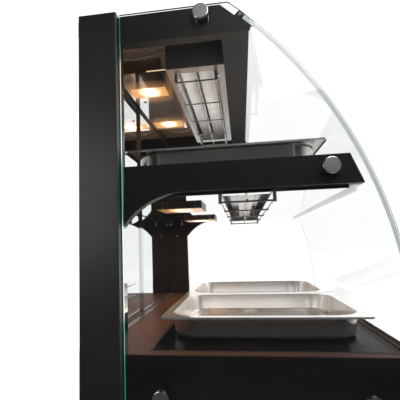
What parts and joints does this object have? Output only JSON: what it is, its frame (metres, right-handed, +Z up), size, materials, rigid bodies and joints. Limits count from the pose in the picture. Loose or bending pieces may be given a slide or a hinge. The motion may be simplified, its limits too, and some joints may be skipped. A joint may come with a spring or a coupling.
{
  "type": "heated display case",
  "caption": "Countertop heated food display case with curved front glass, heated deck and shelf, overhead heater, lamps and sliding mirrored rear doors.",
  "frame": {"origin": "on the table, under the middle of the case", "axes": "+X along the case to the server's left, +Y from the customer to the server, +Z up"},
  "size_m": [0.82, 0.524, 0.74],
  "materials": {
    "frame_paint": "satin black powder coat",
    "cover_paint": "matt black powder coat",
    "base_paint": "gloss black enamel",
    "deck_steel": "dark coated sheet",
    "clear_glass": "toughened, polished edges",
    "mirror_glass": "mirrored towards the food",
    "ceramic_glass": "black ceramic glass, polished",
    "polished_steel": "bright annealed sheet",
    "reflector_steel": "mirror polished",
    "pan_steel": "satin stainless steel",
    "tray_steel": "galvanised sheet",
    "lamp_housing": "dark enamel",
    "lamp_glass": "clear, lit from behind",
    "ceramic": "glazed ceramic",
    "guard_wire": "bright drawn wire",
    "fixing_chrome": "polished rim, brushed face",
    "track_aluminium": "black anodised",
    "rail_aluminium": "clear anodised",
    "hinge_metal": "black zinc",
    "heater_metal": "cast plate",
    "mineral_wool": "pressed slab",
    "black_plastic": "moulded, fine grain",
    "control_plastic": "moulded",
    "indicator_plastic": "translucent amber",
    "rubber": "moulded"
  },
  "bodies": {
    "case": {"end_frame_left": "frame_paint", "end_frame_right": "frame_paint", "canopy_beam": "frame_paint", "canopy_heater_housing": "frame_paint", "shelf_top": "frame_paint", "canopy_roof": "frame_paint", "column_cover_left": "cover_paint", "column_cover_right": "cover_paint", "base_shell": "base_paint", "control_panel": "base_paint", "deck": "deck_steel", "side_glass_left": "clear_glass", "side_glass_right": "clear_glass", "hot_plate": "ceramic_glass", "lamp_panel": "polished_steel", "canopy_heater_surround": "polished_steel", "shelf_underside": "polished_steel", "canopy_reflector": "reflector_steel", "shelf_reflector": "reflector_steel", "deck_heater_tray": "tray_steel", "lamp_trays": "lamp_housing", "lamp_windows": "lamp_glass", "halogen_bulbs": "lamp_glass", "heater_plates": "ceramic", "lamp_sockets": "ceramic", "canopy_heater_guard": "guard_wire", "shelf_heater_guard": "guard_wire", "heater_plate_posts": "guard_wire", "glass_fixings": "fixing_chrome", "hinge_pins": "fixing_chrome", "screws": "fixing_chrome", "top_door_track": "track_aluminium", "bottom_door_track": "track_aluminium", "glass_sill": "track_aluminium", "shelf_front_rail": "rail_aluminium", "hinge_ears": "hinge_metal", "deck_heater": "heater_metal", "insulation_slab": "mineral_wool", "switch_housings": "black_plastic", "power_inlet": "black_plastic", "thermostats": "control_plastic", "terminal_block": "control_plastic", "indicator_lamps": "indicator_plastic", "rubber_feet": "rubber", "glass_washers": "rubber"},
    "front_glass": {"front_glass": "clear_glass", "hinge_clamps": "hinge_metal"},
    "door_left": {"door_left": "mirror_glass", "door_pull_left": "rail_aluminium"},
    "door_right": {"door_right": "mirror_glass", "door_pull_right": "rail_aluminium"},
    "deck_pan_left": {"deck_pan_left": "pan_steel"},
    "deck_pan_right": {"deck_pan_right": "pan_steel"},
    "shelf_pan_left": {"shelf_pan_left": "pan_steel"},
    "shelf_pan_right": {"shelf_pan_right": "pan_steel"},
    "thermostat_knob_1": {"thermostat_knob_1": "black_plastic"},
    "thermostat_knob_2": {"thermostat_knob_2": "black_plastic"},
    "thermostat_knob_3": {"thermostat_knob_3": "black_plastic"},
    "rocker_switch_1": {"rocker_switch_1": "black_plastic"},
    "rocker_switch_2": {"rocker_switch_2": "black_plastic"}
  },
  "joints": [
    {"name": "front_glass_hinge", "type": "hinge", "parent": "case", "child": "front_glass", "pos_m": [0, -0.03596, 0.7198], "axis": [-1, 0, 0], "range_deg": [0, 80]},
    {"name": "door_left_slide", "type": "slide", "parent": "case", "child": "door_left", "axis": [1, 0, 0], "range_m": [0, 0.33]},
    {"name": "door_right_slide", "type": "slide", "parent": "case", "child": "door_right", "axis": [-1, 0, 0], "range_m": [0, 0.33]},
    {"name": "deck_pan_left_lift", "type": "slide", "parent": "case", "child": "deck_pan_left", "axis": [0, 0, 1], "range_m": [0, 0.12]},
    {"name": "deck_pan_right_lift", "type": "slide", "parent": "case", "child": "deck_pan_right", "axis": [0, 0, 1], "range_m": [0, 0.12]},
    {"name": "shelf_pan_left_lift", "type": "slide", "parent": "case", "child": "shelf_pan_left", "axis": [0, 0.5145, 0.8575], "range_m": [0, 0.07]},
    {"name": "shelf_pan_right_lift", "type": "slide", "parent": "case", "child": "shelf_pan_right", "axis": [0, 0.5145, 0.8575], "range_m": [0, 0.07]},
    {"name": "thermostat_knob_1_turn", "type": "hinge", "parent": "case", "child": "thermostat_knob_1", "pos_m": [-0.06, 0.248, 0.10825], "axis": [0, -1, 0], "range_deg": [0, 270]},
    {"name": "thermostat_knob_2_turn", "type": "hinge", "parent": "case", "child": "thermostat_knob_2", "pos_m": [0.012, 0.248, 0.10825], "axis": [0, -1, 0], "range_deg": [0, 270]},
    {"name": "thermostat_knob_3_turn", "type": "hinge", "parent": "case", "child": "thermostat_knob_3", "pos_m": [0.084, 0.248, 0.10825], "axis": [0, -1, 0], "range_deg": [0, 270]},
    {"name": "rocker_switch_1_tilt", "type": "hinge", "parent": "case", "child": "rocker_switch_1", "pos_m": [0.18, 0.2385, 0.10825], "axis": [1, 0, 0], "range_deg": [0, 14]},
    {"name": "rocker_switch_2_tilt", "type": "hinge", "parent": "case", "child": "rocker_switch_2", "pos_m": [0.216, 0.2385, 0.10825], "axis": [1, 0, 0], "range_deg": [0, 14]}
  ]
}
